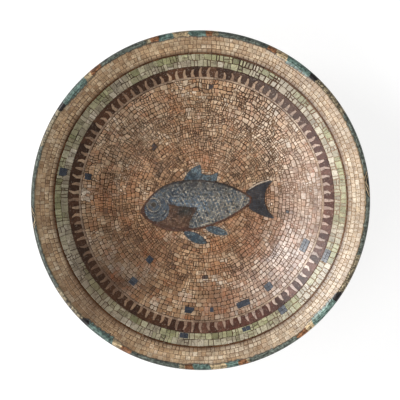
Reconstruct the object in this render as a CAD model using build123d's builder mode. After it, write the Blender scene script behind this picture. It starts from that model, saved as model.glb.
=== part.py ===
"""Shallow footed bowl of fired clay, lined with mosaic bands round a fish.

Millimetres, +Z up. The origin is on the table, under the middle of the bowl.
In section the mosaic's face is one line, a flat floor, a round bend and two slopes, and
every layer of the wall is that line again, some depth below it. In plan the stones are cut
by upright walls.
"""

import os
from math import cos, radians, sin, tan

from build123d import *

os.makedirs("parts", exist_ok=True)

# The wall: a flat floor, a round bend, a steep wall and a border that leans out to the lip
rim_radius = 110.0
wall_thickness = 4.8
wall_width = 31.7
bend_width = 22.0
wall_angle = 34.5
border_angle = 28.0

# The foot ring
foot_height = 6.0
foot_outer_radius = 50.0
foot_width = 7.0
foot_taper = 1.2
foot_edge = 0.8

# The layers of the wall
glaze_thickness = 0.4
bed_thickness = 0.4
stone_thickness = 0.7
seat_clearance = 0.05

# The mosaic's bands, from the lip inwards
joint_width = 0.3
border_width = 10.7
border_rows = 4
dark_line_width = 0.8
green_width = 7.9
green_rows = 2
dentil_width = 6.6
pale_line_width = 1.2

# The pale teeth in the dark band
tooth_count = 100
tooth_length = 5.0
tooth_foot_width = 2.2
tooth_tip_width = 1.2

# The lip's colours over one quarter turn, each with the angle where it ends
lip_angle = 96.0
lip_quarter = [
    ("pale", 2.5),
    ("teal", 9.0),
    ("rust", 11.0),
    ("teal", 31.5),
    ("rust", 34.0),
    ("pale", 37.0),
    ("teal", 48.0),
    ("dark", 52.0),
    ("pale", 66.0),
    ("teal", 84.0),
    ("dark", 90.0),
]

# Single dark stones, each with its angle, then in stone sizes its distance from the band's
# edge, its length along the row and its breadth across it
accent_size = 4.0
field_accents = [
    (168.6, 0.76, 1.05, 1.05),
    (263.7, 1.51, 1.5, 0.95),
    (275.4, 1.61, 0.6, 0.7),
    (292.0, 1.41, 2.25, 0.9),
    (307.8, 1.79, 1.3, 1.15),
    (336.3, 1.34, 2.1, 1.1),
    (228.8, 6.41, 1.0, 1.1),
    (230.1, 2.16, 1.15, 1.15),
]
green_accents = [
    (168.4, 1.14, 1.3, 1.15),
    (263.1, 0.49, 1.4, 0.8),
    (289.7, 0.46, 1.35, 0.7),
    (307.1, 0.54, 1.3, 1.1),
    (336.4, 0.54, 2.15, 1.0),
]

# The fish in plan, drawn for a floor of this radius, up to the straight wall
picture_radius = 64.0
nose = (-42.0, -9.0)
brow = (-33.6, 3.3)
nape = (-14.0, 12.2)
back = (10.0, 11.2)
tail_root_top = (32.6, 1.4)
tail_root_bottom = (32.0, -2.8)
vent = (9.7, -16.3)
keel = (-17.0, -21.8)
chin = (-34.5, -16.0)
outline_width = 1.1
head_centre = (-30.6, -6.8)
head_radius = 8.4
eye_centre = (-32.8, -4.0)
eye_radius = 4.0
pupil_radius = 1.7
gill = (-22.6, -3.2)
gill_edge = (-13.0, -5.2)
fin_root = (-3.8, -5.4)
fin_edge = (-6.6, -11.4)
fin_end = (-9.0, -15.0)
dorsal_front = (-13.0, 11.6)
dorsal_bow = (-8.2, 19.2)
dorsal_peak = (-1.5, 23.0)
dorsal_notch = (-0.8, 17.0)
dorsal_dip = (3.2, 16.0)
dorsal_lobe = (10.3, 18.0)
dorsal_rear = (8.9, 10.8)
pelvic_root = (-13.0, -21.6)
pelvic_upper = (-3.2, -23.2)
pelvic_tip = (3.2, -29.4)
pelvic_lower = (-6.6, -28.6)
anal_root = (0.8, -18.9)
anal_upper = (10.5, -18.6)
anal_tip = (17.5, -23.6)
anal_lower = (8.5, -23.6)
tail_front_top = (28.6, 4.8)
tail_bow = (38.4, 10.2)
tail_tip_top = (48.0, 13.1)
tail_notch = (41.2, -0.3)
tail_tip_bottom = (50.1, -13.4)
tail_hollow = (39.5, -10.8)
tail_front_bottom = (31.0, -6.4)
tail_edge_bow = (38.0, 11.3)

# Sizes that follow
lip_radius = wall_thickness / 2
rim_turn = 90 + border_angle
border_along = (cos(radians(border_angle)), sin(radians(border_angle)))
lining_radius = rim_radius - lip_radius * (1 + sin(radians(border_angle)))
lining_depth = bed_thickness + stone_thickness
clay_depth = wall_thickness - glaze_thickness
border_inner = lining_radius - border_width
bend_end = border_inner - wall_width
well_radius = bend_end - bend_width
fish_scale = bend_end / picture_radius
bend_radius = bend_width / sin(radians(wall_angle))
floor_level = foot_height + wall_thickness
crease_level = floor_level + bend_radius * (1 - cos(radians(wall_angle))) + wall_width * tan(radians(wall_angle))
lip_level = crease_level + border_width * tan(radians(border_angle))
bowl_height = lip_level + lip_radius * (1 - cos(radians(border_angle)))
green_outer = border_inner - dark_line_width
dentil_outer = green_outer - green_width
dentil_inner = dentil_outer - dentil_width
field_radius = dentil_inner - pale_line_width
foot_inner_radius = foot_outer_radius - foot_width
clear_height = 2 * bowl_height


def save(part, name):
    """Labels a finished piece and writes it as one STEP file."""
    part.label = name
    export_step(part, f"parts/{name}.step")


def lip_point(depth):
    """Where the line at this depth ends, at the lip."""
    return (lining_radius + depth * border_along[1], lip_level - depth * border_along[0])


def crease_point(depth):
    """Where the line at this depth turns from the wall to the border."""
    lean = radians(wall_angle + border_angle) / 2
    reach = depth / cos(radians(wall_angle - border_angle) / 2)
    return (border_inner + reach * sin(lean), crease_level - reach * cos(lean))


def lip_arc_point(turn):
    """A point of the clay's own edge, this many degrees round the lip from its inner side."""
    centre = lip_point(lip_radius)
    angle = radians(rim_turn - turn)
    reach = lip_radius - glaze_thickness
    return (centre[0] + reach * cos(angle), centre[1] + reach * sin(angle))


def lining_line(depth):
    """The bowl's inside in section, this depth below the mosaic's face."""
    floor = Line((0, floor_level - depth), (well_radius, floor_level - depth))
    bend = JernArc(floor @ 1, floor % 1, bend_radius + depth, wall_angle)
    Polyline(bend @ 1, crease_point(depth), lip_point(depth))


def layer_section(top, bottom, inner_radius, outer_radius):
    """One layer of the wall between two depths, cut to a band of the plan."""
    with BuildSketch(Plane.XZ) as section:
        with BuildLine():
            lining_line(top)
            lining_line(bottom)
            Line(lip_point(top), lip_point(bottom))
            Line((0, floor_level - top), (0, floor_level - bottom))
        make_face()
        with Locations(((inner_radius + outer_radius) / 2, bowl_height / 2)):
            Rectangle(outer_radius - inner_radius, clear_height, mode=Mode.INTERSECT)
    return section.sketch


# Single dark stones in plan
with BuildSketch() as accent_plan:
    for angle, inset, length, breadth in field_accents:
        with PolarLocations(field_radius - inset * accent_size, 1, start_angle=angle):
            Rectangle(breadth * accent_size, length * accent_size)
    for angle, inset, length, breadth in green_accents:
        with PolarLocations(dentil_outer + inset * accent_size, 1, start_angle=angle):
            Rectangle(breadth * accent_size, length * accent_size)


def fish(point):
    """A point of the fish, at the size that suits the bowl's floor."""
    return (point[0] * fish_scale, point[1] * fish_scale)


def stone_ring(inner_radius, outer_radius):
    """A band of the mosaic between two radii, with pockets for the single stones."""
    with BuildPart() as ring:
        add(layer_section(0, stone_thickness, inner_radius, outer_radius))
        revolve(axis=Axis.Z)
        extrude(accent_plan.sketch, amount=bowl_height, mode=Mode.SUBTRACT)
    return ring.part


# Clay body, with a bevelled edge under the lip's glaze
with BuildPart() as clay_body:
    with BuildSketch(Plane.XZ):
        with BuildLine():
            lining_line(lining_depth)
            Line(lip_point(lining_depth), lip_arc_point(0))
            Polyline(lip_arc_point(0), lip_arc_point(rim_turn / 2), lip_arc_point(rim_turn), lip_arc_point(180))
            lining_line(clay_depth)
            Line((0, floor_level - clay_depth), (0, floor_level - lining_depth))
        make_face()
    revolve(axis=Axis.Z)
save(clay_body.part, "clay_body")

# Foot ring, whose top follows the underside of the clay
with BuildSketch(Plane.XZ) as foot_section:
    with BuildLine():
        Polyline(
            (foot_inner_radius + foot_taper, 0),
            (foot_outer_radius - foot_taper, 0),
            (foot_outer_radius, foot_height),
            (foot_outer_radius, lip_level),
            (foot_inner_radius, lip_level),
            (foot_inner_radius, foot_height),
            close=True,
        )
    make_face()
    chamfer(foot_section.vertices().group_by(Axis.Y)[0], foot_edge)
    with BuildLine():
        lining_line(clay_depth)
        Polyline(
            lip_point(clay_depth),
            (lip_point(clay_depth)[0], clear_height),
            (0, clear_height),
            (0, floor_level - clay_depth),
        )
    make_face(mode=Mode.SUBTRACT)

with BuildPart() as foot_ring:
    add(foot_section.sketch)
    revolve(axis=Axis.Z)
save(foot_ring.part, "foot_ring")

# Glaze on the underside, inside the foot ring
with BuildPart() as recess_glaze:
    add(layer_section(clay_depth, wall_thickness, 0, foot_inner_radius))
    revolve(axis=Axis.Z)
save(recess_glaze.part, "recess_glaze")

# Glaze on the outside, up to the outermost edge of the lip
rim_edge = (rim_radius, lip_point(lip_radius)[1])
with BuildPart() as outer_glaze:
    with BuildSketch(Plane.XZ):
        with BuildLine():
            lining_line(clay_depth)
            lining_line(wall_thickness)
            JernArc(rim_edge, (0, -1), lip_radius, border_angle - 90)
            Polyline(rim_edge, lip_arc_point(rim_turn), lip_arc_point(180))
            Line((0, floor_level - clay_depth), (0, floor_level - wall_thickness))
        make_face()
        with Locations(((foot_outer_radius + rim_radius) / 2, bowl_height / 2)):
            Rectangle(rim_radius - foot_outer_radius, clear_height, mode=Mode.INTERSECT)
    revolve(axis=Axis.Z)
save(outer_glaze.part, "outer_glaze")

# The whole layer of stones, before it is cut
with BuildPart() as stone_layer:
    add(layer_section(0, stone_thickness, 0, rim_radius))
    revolve(axis=Axis.Z)

# Setting bed under the stones
with BuildPart() as setting_bed:
    add(layer_section(stone_thickness + seat_clearance, lining_depth, 0, rim_radius))
    revolve(axis=Axis.Z)
save(setting_bed.part, "setting_bed")


def lip_section(turn):
    """The lip's skin in section at this turn, from its inner edge to its outermost edge."""
    radial = (cos(radians(turn)), sin(radians(turn)), 0)
    across = (radial[1], -radial[0], 0)
    with BuildSketch(Plane((0, 0, 0), x_dir=radial, z_dir=across)) as section:
        with BuildLine():
            top = JernArc(lip_point(0), border_along, lip_radius, -rim_turn)
            Polyline(top @ 0, lip_arc_point(0), lip_arc_point(rim_turn / 2), lip_arc_point(rim_turn), top @ 1)
        make_face()
    return section.sketch


# Lip, four colours that follow one another round the turn, mirrored at each quarter
for colour in ("teal", "rust", "dark", "pale"):
    with BuildPart() as lip:
        begin = 0.0
        for name, end in lip_quarter:
            if name == colour:
                for turn in (begin, -end, 180 + begin, 180 - end):
                    revolve(lip_section(lip_angle + turn), axis=Axis.Z, revolution_arc=end - begin)
            begin = end
    save(lip.part, f"lip_{colour}")

# Peach border rows, counted from the lip inwards
border_pitch = border_width / border_rows
for row in range(border_rows):
    row_outer = rim_radius if row == 0 else lining_radius - row * border_pitch - joint_width / 2
    row_inner = lining_radius - (row + 1) * border_pitch + joint_width / 2
    save(stone_ring(row_inner, row_outer), f"border_row_{row + 1}")

save(stone_ring(green_outer + joint_width / 2, border_inner - joint_width / 2), "dark_line")

# Pale green rows
green_pitch = green_width / green_rows
for row in range(green_rows):
    row_outer = green_outer - row * green_pitch - joint_width / 2
    save(stone_ring(row_outer - green_pitch + joint_width, row_outer), f"green_row_{row + 1}")

# Dark band with its pale teeth
with BuildSketch() as tooth_plan:
    with PolarLocations(dentil_inner, tooth_count):
        Polygon(
            (-joint_width, -tooth_foot_width / 2),
            (tooth_length, -tooth_tip_width / 2),
            (tooth_length, tooth_tip_width / 2),
            (-joint_width, tooth_foot_width / 2),
            align=None,
        )

dentil_ring = stone_ring(dentil_inner + joint_width / 2, dentil_outer - joint_width / 2)

with BuildPart() as dentil_band:
    add(dentil_ring)
    extrude(tooth_plan.sketch, amount=bowl_height, mode=Mode.SUBTRACT)
save(dentil_band.part, "dentil_band")

with BuildPart() as dentil_teeth:
    extrude(tooth_plan.sketch, amount=bowl_height)
    add(dentil_ring, mode=Mode.INTERSECT)
save(dentil_teeth.part, "dentil_teeth")

save(stone_ring(field_radius + joint_width / 2, dentil_inner - joint_width / 2), "pale_line")

# The fish in plan
with BuildSketch() as body_plan:
    with BuildLine():
        ThreePointArc(fish(nose), fish(brow), fish(nape))
        ThreePointArc(fish(nape), fish(back), fish(tail_root_top))
        Line(fish(tail_root_top), fish(tail_root_bottom))
        ThreePointArc(fish(tail_root_bottom), fish(vent), fish(keel))
        ThreePointArc(fish(keel), fish(chin), fish(nose))
    make_face()

with BuildSketch() as flesh_plan:
    add(body_plan.sketch)
    offset(amount=-outline_width * fish_scale, mode=Mode.REPLACE)

with BuildSketch() as outline_plan:
    add(body_plan.sketch)
    add(flesh_plan.sketch, mode=Mode.SUBTRACT)

with BuildSketch() as pupil_plan:
    with Locations(fish(eye_centre)):
        Circle(pupil_radius * fish_scale)

with BuildSketch() as eye_plan:
    with Locations(fish(eye_centre)):
        Circle(eye_radius * fish_scale)
    add(pupil_plan.sketch, mode=Mode.SUBTRACT)

with BuildSketch() as cheek_plan:
    with Locations(fish(head_centre)):
        Circle(head_radius * fish_scale)
    add(flesh_plan.sketch, mode=Mode.INTERSECT)

with BuildSketch() as head_plan:
    add(cheek_plan.sketch)
    with Locations(fish(eye_centre)):
        Circle(eye_radius * fish_scale, mode=Mode.SUBTRACT)

with BuildSketch() as belly_plan:
    with BuildLine():
        ThreePointArc(fish(gill), fish(gill_edge), fish(fin_root))
        ThreePointArc(fish(fin_root), fish(fin_edge), fish(fin_end))
        Polyline(
            fish(fin_end),
            fish((fin_end[0], keel[1])),
            fish((nose[0], keel[1])),
            fish((nose[0], head_centre[1] + head_radius)),
            fish(gill),
        )
    make_face()
    add(flesh_plan.sketch, mode=Mode.INTERSECT)
    add(cheek_plan.sketch, mode=Mode.SUBTRACT)

with BuildSketch() as flank_plan:
    add(flesh_plan.sketch)
    add(cheek_plan.sketch, mode=Mode.SUBTRACT)
    add(belly_plan.sketch, mode=Mode.SUBTRACT)

with BuildSketch() as dorsal_plan:
    with BuildLine():
        ThreePointArc(fish(dorsal_front), fish(dorsal_bow), fish(dorsal_peak))
        Line(fish(dorsal_peak), fish(dorsal_notch))
        ThreePointArc(fish(dorsal_notch), fish(dorsal_dip), fish(dorsal_lobe))
        Polyline(fish(dorsal_lobe), fish(dorsal_rear), fish(dorsal_front))
    make_face()
    add(body_plan.sketch, mode=Mode.SUBTRACT)

with BuildSketch() as pelvic_plan:
    with BuildLine():
        ThreePointArc(fish(pelvic_root), fish(pelvic_upper), fish(pelvic_tip))
        ThreePointArc(fish(pelvic_tip), fish(pelvic_lower), fish(pelvic_root))
    make_face()
    add(body_plan.sketch, mode=Mode.SUBTRACT)

with BuildSketch() as anal_plan:
    with BuildLine():
        ThreePointArc(fish(anal_root), fish(anal_upper), fish(anal_tip))
        ThreePointArc(fish(anal_tip), fish(anal_lower), fish(anal_root))
    make_face()
    add(body_plan.sketch, mode=Mode.SUBTRACT)

with BuildSketch() as tail_plan:
    with BuildLine():
        ThreePointArc(fish(tail_front_top), fish(tail_bow), fish(tail_tip_top))
        ThreePointArc(fish(tail_tip_top), fish(tail_notch), fish(tail_tip_bottom))
        ThreePointArc(fish(tail_tip_bottom), fish(tail_hollow), fish(tail_front_bottom))
        Line(fish(tail_front_bottom), fish(tail_front_top))
    make_face()
    add(body_plan.sketch, mode=Mode.SUBTRACT)

with BuildSketch() as tail_edge_plan:
    with BuildLine():
        ThreePointArc(fish(tail_front_top), fish(tail_bow), fish(tail_tip_top))
        ThreePointArc(fish(tail_tip_top), fish(tail_edge_bow), fish(tail_front_top))
    make_face()
    add(body_plan.sketch, mode=Mode.SUBTRACT)
    add(tail_plan.sketch, mode=Mode.SUBTRACT)

fish_plans = {
    "fish_outline": outline_plan,
    "fish_belly": belly_plan,
    "fish_flank": flank_plan,
    "fish_head": head_plan,
    "fish_eye": eye_plan,
    "fish_pupil": pupil_plan,
    "fish_dorsal_fin": dorsal_plan,
    "fish_pelvic_fin": pelvic_plan,
    "fish_anal_fin": anal_plan,
    "fish_tail": tail_plan,
    "fish_tail_edge": tail_edge_plan,
}

# The stones of the ground, then the fish and the single stones fitted into their pockets
ground = stone_ring(0, field_radius - joint_width / 2)

with BuildPart() as field:
    add(ground)
    for plan in (body_plan, dorsal_plan, pelvic_plan, anal_plan, tail_plan, tail_edge_plan):
        extrude(plan.sketch, amount=bowl_height, mode=Mode.SUBTRACT)
save(field.part, "field")

for name, plan in fish_plans.items():
    with BuildPart() as inlay:
        extrude(plan.sketch, amount=bowl_height)
        add(ground, mode=Mode.INTERSECT)
    save(inlay.part, name)

with BuildPart() as accents:
    extrude(accent_plan.sketch, amount=bowl_height)
    add(stone_layer.part, mode=Mode.INTERSECT)
save(accents.part, "accent_stones")
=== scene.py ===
# %% [markdown]
# # A footed bowl lined with a fish mosaic
#
# The object is a shallow round bowl of fired clay. Its inside is covered with small stones, laid
# in bands round a fish, and its lip is painted with blue, rust and dark patches. The CAD model
# fixes where each band, tooth and fin lies. This script dresses it: it lays the single stones,
# glazes the outside, paints the lip and sets up the light.
#
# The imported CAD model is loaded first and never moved. All lengths are metres, +Z is up.

# %% Load the fixed frame
from math import cos, hypot, pi, radians, sin, tan

import bmesh
import bpy
import numpy as np
from mathutils import Matrix, Vector, noise
from mathutils.bvhtree import BVHTree


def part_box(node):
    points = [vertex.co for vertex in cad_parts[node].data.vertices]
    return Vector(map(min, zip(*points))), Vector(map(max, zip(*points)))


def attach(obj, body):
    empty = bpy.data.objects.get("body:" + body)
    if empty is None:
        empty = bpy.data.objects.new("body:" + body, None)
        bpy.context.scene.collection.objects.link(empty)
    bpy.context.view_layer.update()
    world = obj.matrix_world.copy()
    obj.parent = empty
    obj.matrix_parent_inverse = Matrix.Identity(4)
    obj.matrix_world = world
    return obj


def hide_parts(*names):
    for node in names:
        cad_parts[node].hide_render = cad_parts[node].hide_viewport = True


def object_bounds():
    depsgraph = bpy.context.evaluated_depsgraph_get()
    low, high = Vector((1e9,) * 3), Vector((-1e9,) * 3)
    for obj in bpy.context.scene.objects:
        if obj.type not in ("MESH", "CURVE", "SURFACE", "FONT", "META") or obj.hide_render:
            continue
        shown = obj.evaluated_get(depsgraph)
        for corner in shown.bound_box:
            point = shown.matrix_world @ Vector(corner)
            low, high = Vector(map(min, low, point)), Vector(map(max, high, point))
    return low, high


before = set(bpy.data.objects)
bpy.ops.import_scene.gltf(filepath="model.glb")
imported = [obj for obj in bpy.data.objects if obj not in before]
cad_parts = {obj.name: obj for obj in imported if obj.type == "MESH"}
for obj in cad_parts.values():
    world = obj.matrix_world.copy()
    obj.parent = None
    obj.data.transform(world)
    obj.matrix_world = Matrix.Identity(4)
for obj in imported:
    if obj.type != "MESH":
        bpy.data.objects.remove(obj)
cad_low, cad_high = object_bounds()
MM = 0.001
print("CAD nodes:", len(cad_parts), "box in mm:", [round(v / MM, 1) for v in cad_high - cad_low])

# %% [markdown]
# ## The bowl's section
#
# A thrown bowl is one line turned round an axis: a flat floor, a round bend, a steep wall and a
# border that leans further out. Every layer follows that line at some depth, so one function
# gives the line at any depth. The angles and widths are the part's own, and the levels are read
# from the frame, so the looks stay on the CAD model.

# %% The section line at any depth
wall_angle, border_angle = radians(34.5), radians(28.0)
wall_width, bend_width = 31.7 * MM, 22.0 * MM
wall_thickness = 4.8 * MM
glaze_thickness = 0.4 * MM
row_joint = 0.3 * MM
bend_points = 15


def ring_reach(node):
    """Smallest and largest distance of a CAD ring from the bowl's axis."""
    corners = np.array([v.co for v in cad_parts[node].data.vertices])
    distances = np.hypot(corners[:, 0], corners[:, 1])
    return float(distances.min()), float(distances.max())


rim_radius = cad_high.x
lip_radius = wall_thickness / 2
lip_inner = rim_radius - lip_radius * (1 + sin(border_angle))
crease_radius = ring_reach("dark_line")[1] + row_joint / 2
bend_end = crease_radius - wall_width
well_radius = bend_end - bend_width
bend_radius = bend_width / sin(wall_angle)
floor_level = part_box("fish_pupil")[1].z
crease_level = floor_level + bend_radius * (1 - cos(wall_angle)) + wall_width * tan(wall_angle)
lip_level = crease_level + (lip_inner - crease_radius) * tan(border_angle)


def lip_point(depth):
    """Where the section line at this depth ends, at the lip."""
    return lip_inner + depth * sin(border_angle), lip_level - depth * cos(border_angle)


def section_line(depth):
    """The section this far below the mosaic's face, from the axis out to the lip."""
    radius = bend_radius + depth
    line = [(0.0, floor_level - depth)]
    for turn in np.linspace(0, wall_angle, bend_points):
        line.append((well_radius + radius * sin(turn), floor_level + bend_radius - radius * cos(turn)))
    lean = (wall_angle + border_angle) / 2
    mitre = depth / cos((wall_angle - border_angle) / 2)
    line.append((crease_radius + mitre * sin(lean), crease_level - mitre * cos(lean)))
    line.append(lip_point(depth))
    return line


face_line = np.array(section_line(0))


def face_height(x, y):
    """Height of the mosaic's face over a point of the plan."""
    return float(np.interp(hypot(x, y), face_line[:, 0], face_line[:, 1]))


levels = {"floor": floor_level, "crease": crease_level, "lip": lip_level}
print("levels in mm:", {name: round(level / MM, 2) for name, level in levels.items()})

# %% [markdown]
# ## Turned pieces
#
# The glaze coats, the foot ring and the bed of grout are all turned shapes. A Screw modifier or a
# spin would do, but both leave a seam to weld. Writing the rings of points directly is as short
# and gives a closed mesh: the section goes round as a loop, and points on the axis are merged.

# %% Helpers that turn a section into a closed mesh and settle a piece
def in_scene(name, data):
    """A new object of the scene, with this mesh, lamp or lens."""
    thing = bpy.data.objects.new(name, data)
    bpy.context.scene.collection.objects.link(thing)
    return thing


def lathe(name, section, segments=264):
    """One closed mesh from a closed section of (distance, height) points turned round the axis."""
    count = len(section)
    turns = np.linspace(0, 2 * pi, segments, endpoint=False)
    points = [(r * cos(t), r * sin(t), z) for t in turns for r, z in section]
    faces = []
    for k in range(segments):
        near, far = k * count, (k + 1) % segments * count
        for i in range(count):
            j = (i + 1) % count
            faces.append((near + i, far + i, far + j, near + j))
    mesh = bpy.data.meshes.new(name)
    mesh.from_pydata(points, [], faces)
    shape = bmesh.new()
    shape.from_mesh(mesh)
    bmesh.ops.remove_doubles(shape, verts=shape.verts, dist=1e-7)
    bmesh.ops.dissolve_degenerate(shape, edges=shape.edges, dist=1e-8)
    bmesh.ops.recalc_face_normals(shape, faces=shape.faces)
    shape.to_mesh(mesh)
    shape.free()
    mesh.shade_smooth()
    mesh.set_sharp_from_angle(angle=radians(40))
    return in_scene(name, mesh)


def settle(piece, material, slot, *nodes):
    """Gives a finished piece its material, hangs it on the root and hides the CAD nodes it stands for."""
    piece.data.materials.clear()
    piece.data.materials.append(material)
    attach(piece, "root")
    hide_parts(*nodes)
    print(piece.name, "has", len(piece.data.polygons), "faces")


# %% [markdown]
# ## Shader helpers
#
# Colours are written as they would be picked from a screen, 0 to 255, and turned into the linear
# values that a shader needs. Nodes could be added one call at a time, but a material would then
# run to hundreds of lines. So a `Bench` holds one node tree and adds a node, with its inputs
# joined, in one call, and a material reads as a short list of steps. A `ShaderBench` also knows
# the nodes that only materials use.

# %% Colours
COLOR, FLOAT = "NodeSocketColor", "NodeSocketFloat"
WHITE = [1.0, 1.0, 1.0, 1.0]


def tint(red, green, blue):
    """A screen colour as linear RGBA."""
    channels = [c / 255 for c in (red, green, blue)]
    return [c / 12.92 if c < 0.04045 else ((c + 0.055) / 1.055) ** 2.4 for c in channels] + [1.0]


def tints(*colours):
    """Screen colours as the evenly spaced stops of a ramp."""
    return [(k / (len(colours) - 1), tint(*colour)) for k, colour in enumerate(colours)]


print("a middle grey is", round(tint(128, 128, 128)[0], 3), "in linear light")


# %% A bench for any node tree
class Bench:
    """A node tree, with short ways to add the nodes that this script uses most."""

    def __init__(self, tree):
        self.tree = tree

    def fill(self, node, inputs):
        """Joins or fills a node's inputs, each by name or number."""
        for key, value in inputs.items():
            if isinstance(value, bpy.types.NodeSocket):
                self.tree.links.new(value, node.inputs[key])
            else:
                node.inputs[key].default_value = value

    def add(self, kind, inputs=None, **settings):
        """Adds a node, sets it up and fills its inputs."""
        node = self.tree.nodes.new(kind)
        for name, value in settings.items():
            setattr(node, name, value)
        self.fill(node, inputs or {})
        return node

    def math(self, operation, first, second=0.0, clamp=False):
        """The result of one Math node."""
        inputs = {0: first, 1: second}
        return self.add("ShaderNodeMath", inputs, operation=operation, use_clamp=clamp).outputs[0]

    def plus(self, first, second):
        """The sum of two values."""
        return self.math("ADD", first, second)

    def minus(self, first, second):
        """The difference of two values."""
        return self.math("SUBTRACT", first, second)

    def times(self, first, second, clamp=False):
        """The product of two values."""
        return self.math("MULTIPLY", first, second, clamp)

    def vector(self, operation, first, second=(0, 0, 0), output=0):
        """The result of one Vector Math node."""
        inputs = {0: first, 1: second}
        return self.add("ShaderNodeVectorMath", inputs, operation=operation).outputs[output]


# %% A bench for shaders
class ShaderBench(Bench):
    """A node tree of a material, a shader group or the world."""

    def flat(self, at):
        """A place laid down on the plan."""
        return self.vector("MULTIPLY", at, (1, 1, 0))

    def from_axis(self, at):
        """How far a place is from the bowl's axis."""
        return self.vector("LENGTH", self.flat(at), output="Value")

    def toward(self, at, way):
        """How far a place lies in a direction."""
        return self.vector("DOT_PRODUCT", at, way, "Value")

    def mix(self, factor, first, second, blend="MIX"):
        """The colour between two colours."""
        inputs = {0: factor, 6: first, 7: second}
        return self.add("ShaderNodeMix", inputs, data_type="RGBA", blend_type=blend).outputs[2]

    def spread(self, value, low, high, out_low=0.0, out_high=1.0):
        """A value stretched from one range to another and held inside it."""
        inputs = {0: value, 1: low, 2: high, 3: out_low, 4: out_high}
        return self.add("ShaderNodeMapRange", inputs).outputs[0]

    def ramp(self, value, stops, interpolation="LINEAR"):
        """The colour of a ramp with these (position, colour) stops."""
        node = self.add("ShaderNodeValToRGB", {0: value})
        node.color_ramp.interpolation = interpolation
        elements = node.color_ramp.elements
        while len(elements) < len(stops):
            elements.new(1.0)
        for element, (position, colour) in zip(elements, stops):
            element.position = position
            element.color = colour
        return node.outputs[0]

    def cloud(self, at, scale, detail=3.0, roughness=0.55, distortion=0.0):
        """The value of a Noise Texture, with features about 1 / scale metres across."""
        inputs = {"Vector": at, "Scale": scale, "Detail": detail}
        inputs |= {"Roughness": roughness, "Distortion": distortion}
        return self.add("ShaderNodeTexNoise", inputs).outputs[0]

    def patches(self, at, scale, low, high, out_low=0.0, out_high=1.0, **kind):
        """A Noise Texture, stretched so that it falls into patches."""
        return self.spread(self.cloud(at, scale, **kind), low, high, out_low, out_high)

    def bump(self, height, strength, distance):
        """A Bump node for this height."""
        inputs = {"Height": height, "Strength": strength, "Distance": distance}
        return self.add("ShaderNodeBump", inputs)

    def here(self):
        """Object coordinates, which are the bowl's own frame."""
        return self.add("ShaderNodeTexCoord").outputs["Object"]

    def mark(self, name, output="Fac"):
        """A value that was stored on the stones."""
        return self.add("ShaderNodeAttribute", attribute_name=name).outputs[output]

    def use(self, group, inputs):
        """Places a shader group and gives its outputs."""
        return self.add("ShaderNodeGroup", inputs, node_tree=group.tree).outputs

    def surface(self, inputs):
        """Fills the material's main shader."""
        self.fill(self.tree.nodes["Principled BSDF"], inputs)


# %% New groups and materials
def new_group(name, inputs, outputs):
    """A bench for a new shader group, the values it is given and the node that gives its results."""
    group = bpy.data.node_groups.new(name, "ShaderNodeTree")
    for way, sockets in (("INPUT", inputs), ("OUTPUT", outputs)):
        for label, kind in sockets.items():
            group.interface.new_socket(label, in_out=way, socket_type=kind)
    ends = [group.nodes.new(kind) for kind in ("NodeGroupInput", "NodeGroupOutput")]
    return ShaderBench(group), ends[0].outputs, ends[1]


def new_material(name):
    """A new node material and a bench for its tree."""
    material = bpy.data.materials.new(name)
    material.use_nodes = True
    return material, ShaderBench(material.node_tree)


# %% [markdown]
# ## Effects that several finishes share
#
# All stones have the same history: they were rubbed flat, sealed and soiled. So one group,
# `stone_wear_and_shade`, adds it all: fine grain, pale specks, dark pits, brown soil in clouds and
# in two known places at the upper right, brown painted shade at the lower left and at the bottom,
# where the wall faces away from the key light, rust smears and an uneven sheen. A layer of noise
# for each would be needed in every stone finish otherwise. All the glazed clay shares `glaze_skin`,
# with small specks and the soft unevenness of melted glass.

# %% Stone wear
# x, y and reach in mm, and how much brown: painted shade at lower left and bottom, soil at upper right
soil_and_shade_spots = [
    (-48, -42, 40, 1.1), (-78, -64, 34, 1.1), (45, 64, 24, 0.5), (72, 72, 30, 0.4), (6, -74, 20, 0.8),
]
# The brown colours both the soil and the painted shade.
pale_speck, soil_and_shade_brown, rust_smear = tint(204, 190, 174), tint(92, 60, 36), tint(172, 96, 48)
pit_shade = [0.28, 0.2, 0.13, 1.0]

wear_and_shade, given, gives = new_group(
    "stone_wear_and_shade",
    {"Color": COLOR, "Grain": FLOAT, "Soil and shade": FLOAT, "Rust": FLOAT},
    {"Color": COLOR, "Roughness": FLOAT, "Height": FLOAT},
)
at = wear_and_shade.here()
grain = wear_and_shade.cloud(at, 1300.0, roughness=0.7)
grain_shade = wear_and_shade.spread(grain, 0.3, 0.7, 0.62, 1.38)
weather_shade = wear_and_shade.patches(at, 180.0, 0.32, 0.68, 0.7, 1.26, detail=2.0, roughness=0.6)
grain_tint = wear_and_shade.mix(given["Grain"], WHITE, wear_and_shade.times(grain_shade, weather_shade))
grained = wear_and_shade.mix(1.0, given["Color"], grain_tint, "MULTIPLY")
specks = wear_and_shade.patches(at, 950.0, 0.58, 0.7, 0.0, 0.4, detail=2.0, roughness=0.7)
specked = wear_and_shade.mix(wear_and_shade.times(specks, given["Grain"]), grained, pale_speck)
pits = wear_and_shade.patches(at, 430.0, 0.53, 0.65, 0.0, 0.85, roughness=0.65, distortion=0.6)
pit_colour = wear_and_shade.mix(1.0, specked, pit_shade, "MULTIPLY")
pitted = wear_and_shade.mix(wear_and_shade.times(pits, given["Grain"]), specked, pit_colour)
print("group", wear_and_shade.tree.name, "has grain, specks and pits")
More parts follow.
